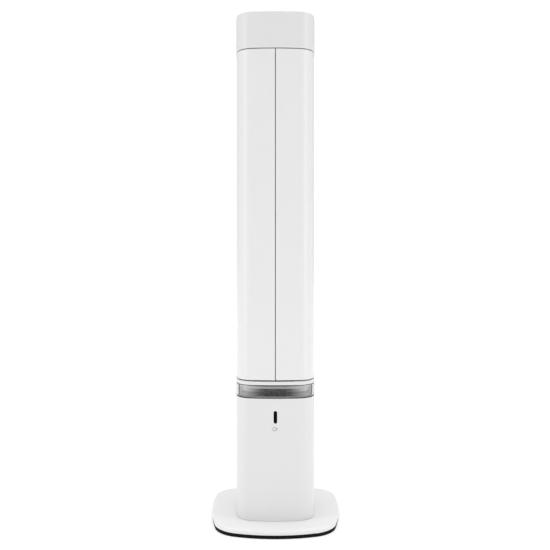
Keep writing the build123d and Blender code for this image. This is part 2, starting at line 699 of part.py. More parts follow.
def make_parts():
    """Every node's solid, by name."""
    parts = {
        "base_plate": base_plate(),
        "foot_ring": foot_ring(),
        "base_weight": base_weight(),
        "base_cover": base_cover(),
        "base_screws": base_screws(),
        "pivot_tube": pivot_tube(),
        "retaining_clip": retaining_clip(),
        "ball_cage": ball_cage(),
        "thrust_balls": thrust_balls(),
        "fixed_gear": fixed_gear(),
        "oscillation_pinion": oscillation_pinion(),
        "lower_housing": lower_housing(),
        "lower_floor": lower_floor(),
        "pivot_bush": pivot_bush(),
        "motor_bracket": motor_bracket(),
        "oscillation_motor": oscillation_motor(),
        "electronics_bracket": electronics_bracket(),
        "control_board": control_board(),
        "power_supply": power_supply(),
        "sensor_window": sensor_window(),
        "sensor_board": sensor_board(),
        "power_inlet": power_inlet(),
        "light_ring": light_ring(),
        "light_tray": light_tray(),
        "light_core": light_core(),
        "light_reflector": light_reflector(),
        "indicator_film": indicator_film(),
        "led_board": led_board(),
        "rim_ring": rim_ring(),
        "lower_deck": lower_deck(),
        "lower_bearing": lower_bearing(),
        "hinge_bushes": hinge_bushes(),
        "upper_deck": upper_deck(),
        "tower_screws": tower_screws(),
        "rear_shell": rear_shell(),
        "left_side_frame": side_frame(-1),
        "right_side_frame": side_frame(1),
        "rear_frame": rear_frame(),
        "scroll_wall": scroll_wall(),
        "tongue_wall": tongue_wall(),
        "outlet_grille": outlet_grille(),
        "crossflow_wheel": crossflow_wheel(),
        "wheel_shaft": wheel_shaft(),
        "left_door": door(-1),
        "right_door": door(1),
        "left_door_pins": door_pins(-1),
        "right_door_pins": door_pins(1),
        "door_motors": door_motor(-1) + door_motor(1),
        "rear_cover": rear_cover(),
        "filter_frame": filter_frame(),
        "filter_media": filter_media(),
        "pre_filter": pre_filter(),
        "top_cap": top_cap(),
        "control_panel": control_panel(),
        "display_window": display_window(),
        "key_board": key_board(),
        "fan_motor": fan_motor(),
    }
    for name, x in zip(KEY_NAMES, KEY_XS):
        parts[name] = key(x)
    return parts


def main():
    os.makedirs("parts", exist_ok=True)
    for node, shape in make_parts().items():
        export_step(shape, f"parts/{node}.step")


if __name__ == "__main__":
    main()
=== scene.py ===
"""Tower air purifier: finished shells, materials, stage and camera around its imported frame."""
from math import atan2, copysign, cos, hypot, pi, radians, sin, sqrt, tan

import bmesh
import bpy
from bpy.props import FloatProperty, FloatVectorProperty, PointerProperty
from bpy.types import Operator, Panel, PropertyGroup
from mathutils import Matrix, Vector


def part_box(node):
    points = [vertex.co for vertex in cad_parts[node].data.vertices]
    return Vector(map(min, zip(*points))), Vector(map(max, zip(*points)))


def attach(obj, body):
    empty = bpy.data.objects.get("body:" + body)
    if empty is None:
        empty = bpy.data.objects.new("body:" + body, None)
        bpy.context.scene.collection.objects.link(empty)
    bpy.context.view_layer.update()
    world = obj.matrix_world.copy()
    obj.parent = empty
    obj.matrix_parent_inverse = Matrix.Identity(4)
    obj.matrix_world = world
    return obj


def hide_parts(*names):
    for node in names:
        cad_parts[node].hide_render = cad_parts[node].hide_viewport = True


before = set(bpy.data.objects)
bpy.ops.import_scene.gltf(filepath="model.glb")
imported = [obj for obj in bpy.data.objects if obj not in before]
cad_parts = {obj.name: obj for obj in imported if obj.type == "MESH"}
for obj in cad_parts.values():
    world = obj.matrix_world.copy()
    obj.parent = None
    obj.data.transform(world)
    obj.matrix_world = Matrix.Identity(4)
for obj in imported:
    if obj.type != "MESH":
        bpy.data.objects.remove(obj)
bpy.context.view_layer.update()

bl_info = {
    "name": "Tower air purifier",
    "version": (1, 0, 0),
    "blender": (4, 5, 0),
    "location": "3D View > Sidebar > Purifier",
    "description": "Builds the purifier's finished shells, materials and stage",
    "category": "Object",
}


def mm(value):
    """Millimetres to metres."""
    return value / 1000


def linear(hex_colour):
    """sRGB hex, such as F2F2F0, to linear RGBA."""
    channels = [int(hex_colour[i : i + 2], 16) / 255 for i in (0, 2, 4)]
    return [c / 12.92 if c <= 0.04045 else ((c + 0.055) / 1.055) ** 2.4 for c in channels] + [1.0]


# ---- sizes and colours a user would change -------------------------------------------
def length(name, description, value):
    """A length property in metres."""
    return FloatProperty(name=name, description=description, default=value, min=0, unit="LENGTH", precision=5)


def finish(name, description, hex_colour):
    """A colour property that starts at an sRGB hex value."""
    return FloatVectorProperty(
        name=name, description=description, default=linear(hex_colour), subtype="COLOR", size=4, min=0, max=1
    )


class PurifierSizes(PropertyGroup):
    """Edge rounds, walls and details of the visible pieces."""

    side_bow: length("Side bow", "Radius of the column's four bowed sides", mm(391))
    corner: length("Corner", "Radius of the column's corners", mm(37))
    door_inset: length("Door inset", "How far the doors stand back from the casings", mm(1.2))
    wall: length("Wall", "Wall of the moulded casings", mm(2.6))
    shell_edge: length("Shell edge", "Round on the casings' edges", mm(0.5))
    cap_edge: length("Cap edge", "Round on the cap's top edge", mm(3.2))
    door_edge: length("Door edge", "Round on the doors' ends and along the slit", mm(0.6))
    plate_top_edge: length("Base top edge", "Round on the base's upper edge", mm(4.5))
    plate_low_edge: length("Base lower edge", "Round on the base's lower edge", mm(2.2))
    band_wall: length("Band wall", "Wall of the clear band", mm(3.0))
    # Heights of the near-black strips of painted shade along the clear band's lower and upper edges.
    shade_strip_low: length("Lower seal", "Height of the dark seal under the clear band", mm(1.7))
    shade_strip_high: length("Upper seal", "Height of the dark seal above the clear band", mm(0.9))
    rib_turn: FloatProperty(name="Rib turn", description="Turn from the sides to the ribs", default=0.42)
    window_half: length("Window half width", "Half the width of the black window", mm(3.5))
    window_tall: length("Window half height", "Half the height of the black window", mm(12.4))
    symbol_ring: length("Symbol ring", "Radius of the printed ring under the window", mm(3.7))


class PurifierColours(PropertyGroup):
    """Base colours of the finishes."""

    casing: finish("Casing", "White casings and cap", "E9E8E8")
    base: finish("Base", "White base plate", "F0EFEF")
    door: finish("Doors", "The two tall doors", "EFEEEE")
    rubber: finish("Rubber", "Ring foot", "0D0D0D")
    window: finish("Window", "Black sensor window", "050505")
    smoke: finish("Smoke", "Film behind the clear band, upper half", "CACACA")
    smoke_low: finish("Smoke, low", "Film behind the clear band, lower half", "585858")
    # Core, reflector and skirt: the middle colour is painted shade and the corner colour is painted light,
    # graded by the distance from the middle plane.
    core_middle_painted_shade: finish("Core, middle", "Printed core behind the clear band, at the middle", "484848")
    core_flank_painted_light: finish("Core, corners", "Printed core behind the clear band, at the corners", "F4F4F4")
    reflector_middle_painted_shade: finish("Reflector, middle", "Stripe above the core, at the middle", "C6C6C6")
    reflector_flank_painted_light: finish("Reflector, corners", "Stripe above the core, at the corners", "ECECEC")
    skirt_middle_painted_shade: finish("Skirt, middle", "Slope below the core, at the middle", "1C1C1C")
    skirt_flank_painted_light: finish("Skirt, corners", "Slope below the core, at the corners", "C4C4C4")
    inner_dark: finish("Inner dark", "Dark mouldings inside", "3A3A3C")
    inner_grey: finish("Inner grey", "Grey mouldings inside", "A9A9AB")
    symbol: finish("Symbol", "Printed symbol", "7C7C7E")
    paper: finish("Filter paper", "Pleated filter sheet", "E8EAE6")
    wheel: finish("Wheel", "Fan wheel", "37383B")


def sizes():
    """The size settings in use."""
    return bpy.context.scene.purifier_sizes


def colours():
    """The colour settings in use."""
    return bpy.context.scene.purifier_colours


# ---- materials -------------------------------------------------------------------------
def add(tree, kind, inputs=(), links=(), **settings):
    """A node with its property settings, input values and links from other sockets."""
    node = tree.nodes.new(kind)
    for key, value in settings.items():
        setattr(node, key, value)
    for key, value in dict(inputs).items():
        node.inputs[key].default_value = value
    for key, source in dict(links).items():
        tree.links.new(source, node.inputs[key])
    return node


def faded(tree, place, axis, near, far):
    """Socket that runs from 0 to 1 between two distances from the middle plane of an axis."""
    split = add(tree, "ShaderNodeSeparateXYZ", links={"Vector": place})
    aside = add(tree, "ShaderNodeMath", links={0: split.outputs[axis]}, operation="ABSOLUTE")
    share = add(
        tree, "ShaderNodeMapRange", {"From Min": near, "From Max": far}, {"Value": aside.outputs["Value"]}
    )
    return share.outputs["Result"]


def drifting(name, first, second, patch, detail, roughness, fade):
    """A new material, its position socket, and sockets of a colour and a roughness that drift over
    patches of size patch. With fade, the colour follows the distance from a middle plane instead."""
    material = bpy.data.materials.new(name)
    material.use_nodes = True
    tree = material.node_tree
    tree.nodes.clear()
    place = add(tree, "ShaderNodeTexCoord").outputs["Object"]
    drift = add(tree, "ShaderNodeTexNoise", {"Scale": 1 / patch, "Detail": detail}, {"Vector": place})
    share = faded(tree, place, *fade) if fade else drift.outputs["Fac"]
    mixed = add(tree, "ShaderNodeMix", {"A": first, "B": second}, {"Factor": share}, data_type="RGBA")
    limits = {"To Min": roughness[0], "To Max": roughness[1]}
    rough = add(tree, "ShaderNodeMapRange", limits, {"Value": drift.outputs["Fac"]})
    return material, place, mixed.outputs["Result"], rough.outputs["Result"]


def surface(name, colour, tint, patch, roughness, grain, bump, fade=None, **shader):
    """Plastic, rubber, metal or paper: colour that drifts to tint over patches of size patch, a
    roughness range that follows them, and a fine grain of size grain that stands bump high. Tint is
    a colour, or a factor of the first. Sizes are in metres. Other settings go to the shader."""
    second = toned(colour, tint) if isinstance(tint, float) else tint
    material, place, mixed, rough = drifting(name, colour, second, patch, 3.0, roughness, fade)
    tree = material.node_tree
    fine = add(tree, "ShaderNodeTexNoise", {"Scale": 1 / grain, "Detail": 2.0}, {"Vector": place})
    height = {"Height": fine.outputs["Fac"]}
    relief = add(tree, "ShaderNodeBump", {"Strength": 1.0, "Distance": bump}, height)
    sources = {"Base Color": mixed, "Roughness": rough, "Normal": relief.outputs["Normal"]}
    shade = add(tree, "ShaderNodeBsdfPrincipled", shader, sources)
    add(tree, "ShaderNodeOutputMaterial", links={"Surface": shade.outputs["BSDF"]})
    return material


def toned(colour, factor):
    """A colour made lighter or darker."""
    return [c * factor for c in colour[:3]] + [1.0]


def abs_moulded_satin(white=None):
    """ABS shot in a fine-spark tool: an even satin white with a soft, wide highlight."""
    return surface(
        "abs_moulded_satin", white or colours().casing, 0.985, mm(90), (0.36, 0.42), mm(0.9), mm(0.003),
        IOR=1.53, **{"Coat Weight": 0.2, "Coat Roughness": 0.3},
    )


def abs_polished_door():
    """ABS from a polished tool: slightly glossier than the casings, with a faint flow waviness."""
    return surface(
        "abs_polished_door", colours().door, 0.988, mm(140), (0.34, 0.40), mm(9), mm(0.002),
        IOR=1.53, **{"Coat Weight": 0.2, "Coat Roughness": 0.3},
    )


def rubber_moulded():
    """Moulded rubber: dull black with a fine blasted grain that hides scuffs."""
    return surface(
        "rubber_moulded", colours().rubber, 1.6, mm(12), (0.62, 0.78), mm(0.6), mm(0.02),
        **{"IOR": 1.52, "Specular IOR Level": 0.12},
    )


def pmma_black_window():
    """Black PMMA, injection polished: a deep black with a sharp reflection."""
    return surface(
        "pmma_black_window", colours().window, 1.5, mm(8), (0.05, 0.09), mm(1.5), mm(0.001),
        **{"IOR": 1.49, "Specular IOR Level": 0.05},
    )


def pp_moulded_dark():
    """Polypropylene, spark-textured: dark charcoal that only catches light at its edges."""
    return surface(
        "pp_moulded_dark", colours().inner_dark, 0.8, mm(25), (0.45, 0.60), mm(0.5), mm(0.01), IOR=1.49
    )


def pp_moulded_grey():
    """Polypropylene in mid grey with the same spark texture: an even, soft inner moulding."""
    return surface(
        "pp_moulded_grey", colours().inner_grey, 0.93, mm(25), (0.40, 0.52), mm(0.5), mm(0.01), IOR=1.49
    )


def abs_inner_white():
    """Unpolished ABS of the inner frames: white, a little darker and duller than the casings."""
    return surface(
        "abs_inner_white", toned(colours().casing, 0.86), 0.96, mm(40), (0.42, 0.55),
        mm(0.6), mm(0.01), IOR=1.53,
    )


def acetal_machined():
    """Natural acetal: waxy ivory gear teeth with a low, broad sheen."""
    return surface(
        "acetal_machined", linear("DDD8C8"), 0.95, mm(8), (0.32, 0.42), mm(0.4), mm(0.004), IOR=1.48
    )


def nylon_glass_filled():
    """Glass-filled nylon fan wheel: dark grey, slightly mottled where the fibres come to the skin."""
    return surface(
        "nylon_glass_filled", colours().wheel, 1.5, mm(5), (0.42, 0.58), mm(0.4), mm(0.012), IOR=1.53
    )


def steel_zinc_plated():
    """Zinc-plated sheet and bar: cool grey metal with cloudy patches in its gloss."""
    return surface(
        "steel_zinc_plated", linear("B4B7BC"), linear("9CA0A8"), mm(14), (0.26, 0.44),
        mm(0.8), mm(0.006), Metallic=1.0,
    )


def steel_bearing_polished():
    """Polished bearing steel: bright balls with clean reflections."""
    return surface(
        "steel_bearing_polished", linear("D2D4D8"), linear("C4C7CC"), mm(3), (0.08, 0.14),
        mm(1), mm(0.001), Metallic=1.0,
    )


def bronze_sintered():
    """Sintered bronze bushes: warm metal, dulled by its open pores."""
    return surface(
        "bronze_sintered", linear("B8925A"), linear("96703C"), mm(1.5), (0.38, 0.55),
        mm(0.4), mm(0.02), Metallic=1.0,
    )


def steel_coated_motor():
    """Electro-coated motor cans: dark satin grey with a light orange peel."""
    return surface(
        "steel_coated_motor", linear("55585C"), 0.85, mm(18), (0.34, 0.46), mm(1.6), mm(0.02), IOR=1.5
    )


def solder_mask():
    """Glass-epoxy board under green solder mask: glossy green over a faint weave of glass cloth."""
    return surface(
        "solder_mask", linear("1E5A38"), linear("17472C"), mm(6), (0.22, 0.34), mm(1.2), mm(0.01), IOR=1.55
    )


def filter_paper():
    """Melt-blown filter sheet: chalky off-white fibres with no gloss at all."""
    return surface(
        "filter_paper", colours().paper, 0.9, mm(7), (0.85, 0.95), mm(0.7), mm(0.06), IOR=1.45
    )


def dark_strip_painted_shade():
    """Dull near-black strips that stand for the shade in the gaps at the edges of the clear band and under
    the doors: painted shade.
    """
    return surface(
        "dark_strip_painted_shade", linear("121212"), 1.4, mm(10), (0.6, 0.7), mm(0.5), mm(0.006),
        **{"IOR": 1.5, "Specular IOR Level": 0.2},
    )


def pc_core_painted_shading():
    """Polycarbonate core whose colour follows the distance from the middle plane: painted shade makes it dark
    in the middle, painted light makes it pale towards the corners.
    """
    return surface(
        "pc_core_painted_shading", colours().core_middle_painted_shade, colours().core_flank_painted_light, mm(20), (0.4, 0.5),
        mm(0.5), mm(0.006), ("X", mm(28), mm(66)), IOR=1.58,
    )


def pc_skirt_painted_shading():
    """The sloping skirt under the core, with the heaviest painted shade: nearly black in the middle, and
    paler towards the corners by painted light.
    """
    return surface(
        "pc_skirt_painted_shading", colours().skirt_middle_painted_shade, colours().skirt_flank_painted_light, mm(20), (0.4, 0.5), mm(0.5),
        mm(0.006), ("X", mm(28), mm(66)), IOR=1.58,
    )


def pc_reflector_painted_shading():
    """The same painted shade and light at half strength on the reflector, so that it reads as a lighter
    stripe.
    """
    return surface(
        "pc_reflector_painted_shading", colours().reflector_middle_painted_shade, colours().reflector_flank_painted_light, mm(20), (0.3, 0.4),
        mm(0.5), mm(0.006), ("X", mm(20), mm(62)), IOR=1.58,
    )


def panel_gloss():
    """Back-printed acrylic panel: very smooth pale grey under a clear gloss."""
    return surface(
        "panel_gloss", linear("D6D6D6"), 0.98, mm(60), (0.08, 0.12), mm(5), mm(0.002),
        IOR=1.49, **{"Coat Weight": 0.5, "Coat Roughness": 0.03},
    )


def key_soft_touch():
    """Soft-touch key caps: pale grey, velvety, with a wide dull highlight."""
    return surface(
        "key_soft_touch", linear("C6C6C6"), 0.96, mm(5), (0.55, 0.65), mm(0.5), mm(0.008), IOR=1.5
    )


def ink_grey():
    """Pad-printed grey ink: thin, flat and slightly broken at its edge."""
    return surface("ink_grey", colours().symbol, 1.1, mm(2), (0.5, 0.6), mm(0.4), mm(0.002), IOR=1.5)


def clear(name, tint, deeper, patch, roughness, ior, fade=None):
    """Clear moulding whose tint drifts slightly; its roughness follows the drift."""
    material, _, mixed, rough = drifting(name, tint, deeper, patch, 2.0, roughness, fade)
    tree = material.node_tree
    sources = {"Base Color": mixed, "Roughness": rough}
    shade = add(tree, "ShaderNodeBsdfPrincipled", {"IOR": ior, "Transmission Weight": 1.0}, sources)
    add(tree, "ShaderNodeOutputMaterial", links={"Surface": shade.outputs["BSDF"]})
    return material


def polycarbonate_clear():
    """Clear polycarbonate: water-clear wall that darkens and bends light at its thick edges."""
    return clear("polycarbonate_clear", linear("EAEAEA"), linear("E4E4E4"), mm(30), (0.0, 0.03), 1.42)


def pmma_smoked():
    """Smoked acrylic film: a light neutral smoke that deepens towards its lower edge."""
    middle = sum(corner[2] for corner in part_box("indicator_film")) / 2
    return clear(
        "pmma_smoked", colours().smoke_low, colours().smoke, mm(20), (0.02, 0.06), 1.0,
        ("Z", middle - mm(1), middle + mm(3)),
    )


def opal_table():
    """Opal acrylic light table: a white matt sheet that glows a little from below."""
    return surface(
        "opal_table", linear("D6D6D6"), 0.99, 0.8, (0.6, 0.7), mm(3), mm(0.01),
        **{"Emission Color": (1, 1, 1, 1), "Emission Strength": 0.4},
    )


# ---- outlines --------------------------------------------------------------------------
# A loop is a list of (centre, radius, angle) samples, so that an inset is an exact parallel curve.
def corner_centre(side, following, radius, towards):
    """Centre of a corner round that touches two side arcs from inside."""
    (ax, ay), (bx, by) = side[0], following[0]
    reach_a, reach_b = side[1] - radius, following[1] - radius
    gap = hypot(bx - ax, by - ay)
    along = (reach_a**2 - reach_b**2 + gap**2) / (2 * gap)
    across = sqrt(reach_a**2 - along**2)
    ux, uy = (bx - ax) / gap, (by - ay) / gap
    found = [(ax + ux * along - s * uy * across, ay + uy * along + s * ux * across) for s in (-1, 1)]
    return max(found, key=lambda p: p[0] * cos(towards) + p[1] * sin(towards))


def arc_loop(sides, radii, side_steps=10, corner_steps=18):
    """Samples round four side arcs, the first to the right and then anticlockwise, and their corners."""
    corners = []
    for i in range(4):
        towards = radians(45 + 90 * i)
        corners.append(corner_centre(sides[i], sides[(i + 1) % 4], radii[i], towards))
    samples = []
    for i in range(4):
        centre, radius = sides[i]
        before, after = corners[i - 1], corners[i]
        start = atan2(before[1] - centre[1], before[0] - centre[0])
        end = atan2(after[1] - centre[1], after[0] - centre[0])
        end += 2 * pi if end < start else 0
        steps = [start + (end - start) * k / side_steps for k in range(side_steps)]
        samples += [(centre, radius, angle) for angle in steps]
        following = sides[(i + 1) % 4][0]
        turn = atan2(after[1] - following[1], after[0] - following[0])
        turn += 2 * pi if turn < end - 1e-9 else 0
        steps = [end + (turn - end) * k / corner_steps for k in range(corner_steps)]
        samples += [(after, radii[i], angle) for angle in steps]
    return samples


def tower_loop():
    """Outline of the column's casings."""
    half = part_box("lower_housing")[1][0]
    bow = sizes().side_bow
    shift = half - bow
    sides = [((shift, 0), bow), ((0, shift), bow), ((-shift, 0), bow), ((0, -shift), bow)]
    return arc_loop(sides, [sizes().corner] * 4)


def base_loop():
    """Outline of the base: bowed front with large corners, flatter back."""
    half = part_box("base_plate")[1][1]
    front = (mm(111), mm(-107))
    widest, back_y = mm(35), mm(124)
    side_r = ((widest - front[1]) ** 2 + (half - front[0]) ** 2) / (2 * (half - front[0]))
    back_x = half - side_r + sqrt(side_r**2 - (back_y - widest) ** 2)
    back_r = (back_x**2 + (half - back_y) ** 2) / (2 * (half - back_y))
    front_r = (front[0] ** 2 + (half + front[1]) ** 2) / (2 * (half + front[1]))
    sides = [
        ((half - side_r, widest), side_r),
        ((0, half - back_r), back_r),
        ((side_r - half, widest), side_r),
        ((0, front_r - half), front_r),
    ]
    return arc_loop(sides, [mm(50), mm(50), mm(60), mm(60)], 16, 20)


def heights(node):
    """Bottom and top of a frame node."""
    low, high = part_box(node)
    return low[2], high[2]


def at(sample, inset):
    """Point of a loop sample, moved inward by inset."""
    (x, y), radius, angle = sample
    return (x + (radius - inset) * cos(angle), y + (radius - inset) * sin(angle))


def rounded(corners, steps=5):
    """Closed 2-D outline from (u, v, radius) corners, each turned by an arc."""
    points = []
    count = len(corners)
    for i, (u, v, radius) in enumerate(corners):
        here = Vector((u, v))
        if radius <= 0:
            points.append((u, v))
            continue
        back = (Vector(corners[i - 1][:2]) - here).normalized()
        ahead = (Vector(corners[(i + 1) % count][:2]) - here).normalized()
        half_turn = back.angle(ahead) / 2
        centre = here + (back + ahead).normalized() * radius / sin(half_turn)
        start = here + back * radius / tan(half_turn) - centre
        end = here + ahead * radius / tan(half_turn) - centre
        first = atan2(start.y, start.x)
        sweep = (atan2(end.y, end.x) - first + pi) % (2 * pi) - pi
        for k in range(steps + 1):
            angle = first + sweep * k / steps
            points.append((centre.x + radius * cos(angle), centre.y + radius * sin(angle)))
    return points


# ---- meshes ----------------------------------------------------------------------------
FRONTWARD = Matrix.Rotation(pi / 2, 4, "X")  # turns a section's height towards the front
SLOT_STEPS = 8  # points on each side of a cell of the rear cover


def mesh_piece(name, build, material, body, replaces=(), sharp=40):
    """Makes a named piece: build fills a bmesh, and the piece then rides on its body."""
    shape = bmesh.new()
    build(shape)
    bmesh.ops.remove_doubles(shape, verts=shape.verts, dist=1e-6)
    bmesh.ops.recalc_face_normals(shape, faces=shape.faces)
    for face in shape.faces:
        face.smooth = True
    for edge in shape.edges:
        edge.smooth = edge.calc_face_angle(0) < radians(sharp)
    mesh = bpy.data.meshes.new(name)
    shape.to_mesh(mesh)
    shape.free()
    mesh.materials.append(material)
    piece = bpy.data.objects.new(name, mesh)
    bpy.context.collection.objects.link(piece)
    weighted = piece.modifiers.new("weighted_normals", "WEIGHTED_NORMAL")
    weighted.keep_sharp = True
    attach(piece, body)
    if replaces:
        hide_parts(*replaces)
    return piece


def quads(shape, rows, wrap_rows, wrap_columns):
    """Faces between neighbouring rows of points, closed round where asked."""
    grid = [[shape.verts.new(point) for point in row] for row in rows]
    row_count, column_count = len(grid), len(grid[0])
    for i in range(row_count if wrap_rows else row_count - 1):
        low, high = grid[i], grid[(i + 1) % row_count]
        for j in range(column_count if wrap_columns else column_count - 1):
            k = (j + 1) % column_count
            shape.faces.new((low[j], low[k], high[k], high[j]))
    return grid


def sweep(loop, profile, closed=True):
    """Builder of a wall or a lid: a profile of (inset, z) points carried round a loop. An open
    profile is closed by flat faces at its two ends."""

    def build(shape):
        rows = [[(*at(sample, inset), z) for sample in loop] for inset, z in profile]
        grid = quads(shape, rows, closed, True)
        if not closed:
            shape.faces.new(grid[0])
            shape.faces.new(grid[-1])

    return build


def wall_profile(low, high, outer, inner, edge):
    """Closed section of an upright wall between two insets, with rounded edges."""
    edge = min(edge, (inner - outer) * 0.45, (high - low) * 0.45)
    return rounded([(outer, low, edge), (inner, low, edge), (inner, high, edge), (outer, high, edge)])


def solid_section(section, low, high, edge, turn=Matrix(), steps=4):
    """Builder of a prism of a closed 2-D section, drawn anticlockwise, with rounded ends."""
    count = len(section)
    outward = []
    for i in range(count):
        tangent = Vector(section[(i + 1) % count]) - Vector(section[i - 1])
        outward.append(Vector((tangent.y, -tangent.x)).normalized())
    turns = [pi / 2 * k / steps for k in range(steps + 1)]
    ends = [(edge * (1 - cos(t)), edge * (1 - sin(t))) for t in turns]
    levels = [(low + rise, inset) for rise, inset in ends]
    levels += [(high - rise, inset) for rise, inset in reversed(ends)]

    def build(shape):
        rows = []
        for z, inset in levels:
            flat = [Vector(p) - n * inset for p, n in zip(section, outward)]
            rows.append([turn @ Vector((x, y, z)) for x, y in flat])
        grid = quads(shape, rows, False, True)
        caps = [shape.faces.new(grid[0]), shape.faces.new(grid[-1])]
        for cap in caps:
            cap.normal_update()  # a concave cap is cut up wrongly without its normal
        bmesh.ops.triangulate(shape, faces=caps)

    return build


def together(*builders):
    """Builder that runs several builders into one mesh."""

    def build(shape):
        for builder in builders:
            builder(shape)

    return build


def disc(x, y, radius, steps=32):
    """Closed circle."""
    turns = [2 * pi * k / steps for k in range(steps)]
    return [(x + radius * cos(t), y + radius * sin(t)) for t in turns]


def rounded_box(x, y, radius):
    """Closed rectangle between two x limits and two y limits, with round corners."""
    corners = [(x[0], y[0]), (x[1], y[0]), (x[1], y[1]), (x[0], y[1])]
    return rounded([(*corner, radius) for corner in corners], 8)


def cut(piece, cutter_build, name):
    """Cuts a hollow out of a piece with a builder's shape, and keeps the result as its mesh."""
    shape = bmesh.new()
    cutter_build(shape)
    bmesh.ops.recalc_face_normals(shape, faces=shape.faces)
    mesh = bpy.data.meshes.new(name)
    shape.to_mesh(mesh)
    shape.free()
    tool = bpy.data.objects.new(name, mesh)
    bpy.context.collection.objects.link(tool)
    hollow = piece.modifiers.new(name, "BOOLEAN")
    hollow.object = tool
    hollow.solver = "EXACT"
    piece.modifiers.move(len(piece.modifiers) - 1, 0)
    bpy.context.view_layer.update()
    saved = {m.name: m.show_viewport for m in piece.modifiers}
    for modifier in piece.modifiers:
        modifier.show_viewport = modifier.name == name
    result = bpy.data.meshes.new_from_object(piece.evaluated_get(bpy.context.evaluated_depsgraph_get()))
    piece.modifiers.remove(piece.modifiers[name])
    for modifier in piece.modifiers:
        modifier.show_viewport = saved[modifier.name]
    piece.data = result
    bpy.data.objects.remove(tool)
    return piece


def soften(node, material, width=mm(0.3)):
    """Gives a frame node its material, and small rounds on its sharp edges where width isn't 0."""
    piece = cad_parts[node]
    piece.data.materials.clear()
    piece.data.materials.append(material)
    if width:
        weld = piece.modifiers.new("weld", "WELD")
        weld.merge_threshold = mm(0.005)
        edge = piece.modifiers.new("edge_round", "BEVEL")
        edge.width = width
        edge.segments = 2
        edge.limit_method = "ANGLE"
        edge.angle_limit = radians(35)
        edge.harden_normals = True
    return piece


# ---- operators, one for each group of pieces ---------------------------------------------
class PURIFIER_OT_stage(Operator):
    """Camera, pale floor and soft studio light"""

    bl_idname = "purifier.stage"
    bl_label = "Stage"

    def execute(self, context):
        floor_reach = 9.0
        lens = bpy.data.cameras.new("camera")
        lens.lens = 49.6
        lens.shift_x = -0.0007
        lens.shift_y = -0.0545
        lens.clip_end = 60
        camera = bpy.data.objects.new("camera", lens)
        camera.location = (0, -1.5625, 0.5563)
        camera.rotation_euler = (pi / 2, 0, 0)
        context.collection.objects.link(camera)
        context.scene.camera = camera
        floor_mesh = bpy.data.meshes.new("floor")
        turns = ((-1, -1), (1, -1), (1, 1), (-1, 1))
        corners = [(floor_reach * x, floor_reach * y, 0) for x, y in turns]
        floor_mesh.from_pydata(corners, [], [(0, 1, 2, 3)])
        floor = bpy.data.objects.new("floor", floor_mesh)
        floor_mesh.materials.append(opal_table())
        context.collection.objects.link(floor)
        self.lights(context)
        context.scene.view_settings.view_transform = "Standard"
        return {"FINISHED"}

    def lights(self, context):
        """Light tent that is brighter overhead and behind, a white backdrop and two tall strip boxes."""
        world = bpy.data.worlds.new("light_tent")
        world.use_nodes = True
        tree = world.node_tree
        tree.nodes.clear()
        towards = add(tree, "ShaderNodeTexCoord").outputs["Generated"]
        split = add(tree, "ShaderNodeSeparateXYZ", links={"Vector": towards})

        def ramp(axis, first, last, low, high):
            """Smooth rise from low to high between two places on an axis."""
            limits = {"From Min": first, "From Max": last, "To Min": low, "To Max": high}
            value = {"Value": split.outputs[axis]}
            rise = add(tree, "ShaderNodeMapRange", limits, value, interpolation_type="SMOOTHSTEP")
            return rise.outputs["Result"]

        summed = {0: ramp("Z", 0.3, 1.0, 0.24, 1.52), 1: ramp("Y", 0.2, 1.0, 0.0, 0.3)}
        level = add(tree, "ShaderNodeMath", links=summed, operation="ADD")
        white = (1, 1, 1, 1)
        tent = add(tree, "ShaderNodeBackground", {"Color": white}, {"Strength": level.outputs["Value"]})
        backdrop = add(tree, "ShaderNodeBackground", {"Color": white, "Strength": 1.02})
        seen = add(tree, "ShaderNodeLightPath").outputs["Is Camera Ray"]
        sides = {0: seen, 1: tent.outputs["Background"], 2: backdrop.outputs["Background"]}
        either = add(tree, "ShaderNodeMixShader", links=sides)
        add(tree, "ShaderNodeOutputWorld", links={"Surface": either.outputs["Shader"]})
        context.scene.world = world
        for x in (-1.75, 1.75):
            light = bpy.data.lights.new("strip_box", "AREA")
            light.shape = "RECTANGLE"
            light.size, light.size_y, light.energy = 0.45, 2.2, 9.5
            lamp = bpy.data.objects.new("strip_box", light)
            lamp.location = (x, -0.85, 0.9)
            lamp.visible_camera = False
            aim = Vector((0, 0, 0.55)) - lamp.location
            lamp.rotation_euler = aim.to_track_quat("-Z", "Y").to_euler()
            context.collection.objects.link(lamp)


class PURIFIER_OT_base(Operator):
    """Base plate, rubber foot and what is under them"""

    bl_idname = "purifier.base"
    bl_label = "Base"

    def execute(self, context):
        loop = base_loop()
        low, high = heights("base_plate")
        flat, rim, skin = mm(50), mm(8), mm(4)
        profile = rounded([
            (flat, high - skin, 0),
            (rim, high - skin, 0),
            (rim, low, mm(0.4)),
            (0, low, sizes().plate_low_edge),
            (0, high, sizes().plate_top_edge),
            (flat, high, 0),
        ])
        plate = mesh_piece(
            "base_body", sweep(loop, profile, closed=False), abs_moulded_satin(colours().base),
            "base", ["base_plate"],
        )
        bore_r = mm(11)
        cut(plate, solid_section(disc(0, 0, bore_r), 0, high + mm(5), 0), "bore")
        inner, top = mm(12), heights("foot_ring")[1]
        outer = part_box("base_plate")[1][1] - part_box("foot_ring")[1][1]
        section = rounded([
            (outer, 0, mm(0.5)), (inner, 0, mm(1.2)), (inner, top, mm(0.4)), (outer, top, mm(0.8)),
        ])
        mesh_piece("foot", sweep(loop, section), rubber_moulded(), "base", ["foot_ring"])
        soften("base_cover", pp_moulded_dark())
        steel = steel_zinc_plated()
        for node in ("base_weight", "base_screws", "pivot_tube", "retaining_clip"):
            soften(node, steel, 0)
        soften("ball_cage", pp_moulded_dark(), 0)
        soften("thrust_balls", steel_bearing_polished(), 0)
        return {"FINISHED"}


